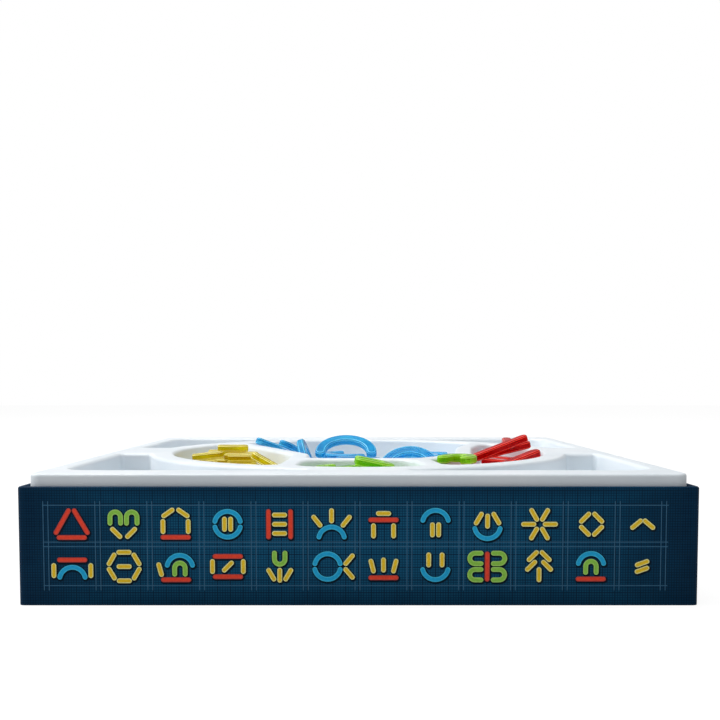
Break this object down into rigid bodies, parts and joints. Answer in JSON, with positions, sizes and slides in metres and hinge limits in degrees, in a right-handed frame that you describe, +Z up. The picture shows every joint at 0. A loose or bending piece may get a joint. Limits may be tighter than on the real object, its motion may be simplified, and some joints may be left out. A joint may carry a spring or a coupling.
{
  "type": "board game box base",
  "caption": "Square wrapped board game box base with a formed tray of corner pockets and a divided round well holding loose coloured bars, half rings and hooks.",
  "frame": {"origin": "middle of the box's underside, on the table", "axes": "+X to the right of the front wall, +Y towards the back, +Z up"},
  "size_m": [0.266, 0.266, 0.0601],
  "materials": {
    "base_paper": "dark blue litho paper under the floor, matt",
    "chipboard": "grey recycled chipboard, scored and folded",
    "tape": "gummed kraft paper stay tape",
    "printed_paper": "printed litho paper with a thin satin film",
    "leaflet_paper": "uncoated white offset paper",
    "tray_plastic": "white vacuum-formed polystyrene, soft gloss",
    "yellow_plastic": "clear tinted injection-moulded styrene",
    "blue_plastic": "clear tinted injection-moulded styrene",
    "green_plastic": "clear tinted injection-moulded styrene",
    "red_plastic": "clear tinted injection-moulded styrene"
  },
  "bodies": {
    "box": {"base_sheet": "base_paper", "base_board": "chipboard", "corner_stays": "tape", "printed_wrap": "printed_paper"},
    "leaflet": {"rules_leaflet": "leaflet_paper"},
    "tray": {"formed_tray": "tray_plastic"},
    "yellow_heap": {"yellow_bar_heap": "yellow_plastic"},
    "blue_heap": {"blue_ring_heap": "blue_plastic"},
    "green_heap": {"green_hook_heap": "green_plastic"},
    "red_heap": {"red_bar_heap": "red_plastic"},
    "yellow_bar_1": {"yellow_bar_1": "yellow_plastic"},
    "yellow_bar_2": {"yellow_bar_2": "yellow_plastic"},
    "yellow_bar_3": {"yellow_bar_3": "yellow_plastic"},
    "yellow_bar_4": {"yellow_bar_4": "yellow_plastic"},
    "blue_ring_1": {"blue_ring_1": "blue_plastic"},
    "blue_ring_2": {"blue_ring_2": "blue_plastic"},
    "blue_ring_3": {"blue_ring_3": "blue_plastic"},
    "blue_ring_4": {"blue_ring_4": "blue_plastic"},
    "blue_ring_5": {"blue_ring_5": "blue_plastic"},
    "green_hook_1": {"green_hook_1": "green_plastic"},
    "green_hook_2": {"green_hook_2": "green_plastic"},
    "red_bar_1": {"red_bar_1": "red_plastic"},
    "red_bar_2": {"red_bar_2": "red_plastic"},
    "red_bar_3": {"red_bar_3": "red_plastic"},
    "red_bar_4": {"red_bar_4": "red_plastic"},
    "red_bar_5": {"red_bar_5": "red_plastic"}
  },
  "joints": [
    {"name": "leaflet_lift", "type": "slide", "parent": "box", "child": "leaflet", "axis": [0, 0, 1], "range_m": [0, 0.06]},
    {"name": "tray_lift", "type": "slide", "parent": "leaflet", "child": "tray", "axis": [0, 0, 1], "range_m": [0, 0.06]},
    {"name": "yellow_heap_lift", "type": "slide", "parent": "tray", "child": "yellow_heap", "axis": [0, 0, 1], "range_m": [0, 0.04]},
    {"name": "blue_heap_lift", "type": "slide", "parent": "tray", "child": "blue_heap", "axis": [0, 0, 1], "range_m": [0, 0.04]},
    {"name": "green_heap_lift", "type": "slide", "parent": "tray", "child": "green_heap", "axis": [0, 0, 1], "range_m": [0, 0.04]},
    {"name": "red_heap_lift", "type": "slide", "parent": "tray", "child": "red_heap", "axis": [0, 0, 1], "range_m": [0, 0.04]},
    {"name": "yellow_bar_1_lift", "type": "slide", "parent": "yellow_heap", "child": "yellow_bar_1", "axis": [0, 0, 1], "range_m": [0, 0.04]},
    {"name": "yellow_bar_2_lift", "type": "slide", "parent": "yellow_heap", "child": "yellow_bar_2", "axis": [0, 0, 1], "range_m": [0, 0.04]},
    {"name": "yellow_bar_3_lift", "type": "slide", "parent": "yellow_heap", "child": "yellow_bar_3", "axis": [0, 0, 1], "range_m": [0, 0.04]},
    {"name": "yellow_bar_4_lift", "type": "slide", "parent": "yellow_heap", "child": "yellow_bar_4", "axis": [0, 0, 1], "range_m": [0, 0.04]},
    {"name": "blue_ring_1_lift", "type": "slide", "parent": "blue_heap", "child": "blue_ring_1", "axis": [0, 0, 1], "range_m": [0, 0.04]},
    {"name": "blue_ring_2_lift", "type": "slide", "parent": "blue_heap", "child": "blue_ring_2", "axis": [0, 0, 1], "range_m": [0, 0.04]},
    {"name": "blue_ring_3_lift", "type": "slide", "parent": "blue_heap", "child": "blue_ring_3", "axis": [0, 0, 1], "range_m": [0, 0.04]},
    {"name": "blue_ring_4_lift", "type": "slide", "parent": "blue_heap", "child": "blue_ring_4", "axis": [0, 0, 1], "range_m": [0, 0.04]},
    {"name": "blue_ring_5_lift", "type": "slide", "parent": "blue_heap", "child": "blue_ring_5", "axis": [0, 0, 1], "range_m": [0, 0.04]},
    {"name": "green_hook_1_lift", "type": "slide", "parent": "green_heap", "child": "green_hook_1", "axis": [0, 0, 1], "range_m": [0, 0.04]},
    {"name": "green_hook_2_lift", "type": "slide", "parent": "red_heap", "child": "green_hook_2", "axis": [0, 0, 1], "range_m": [0, 0.04]},
    {"name": "red_bar_1_lift", "type": "slide", "parent": "red_heap", "child": "red_bar_1", "axis": [0, 0, 1], "range_m": [0, 0.04]},
    {"name": "red_bar_2_lift", "type": "slide", "parent": "red_heap", "child": "red_bar_2", "axis": [0, 0, 1], "range_m": [0, 0.04]},
    {"name": "red_bar_3_lift", "type": "slide", "parent": "red_heap", "child": "red_bar_3", "axis": [0, 0, 1], "range_m": [0, 0.04]},
    {"name": "red_bar_4_lift", "type": "slide", "parent": "red_heap", "child": "red_bar_4", "axis": [0, 0, 1], "range_m": [0, 0.04]},
    {"name": "red_bar_5_lift", "type": "slide", "parent": "red_bar_3", "child": "red_bar_5", "axis": [0, 0, 1], "range_m": [0, 0.04]}
  ]
}
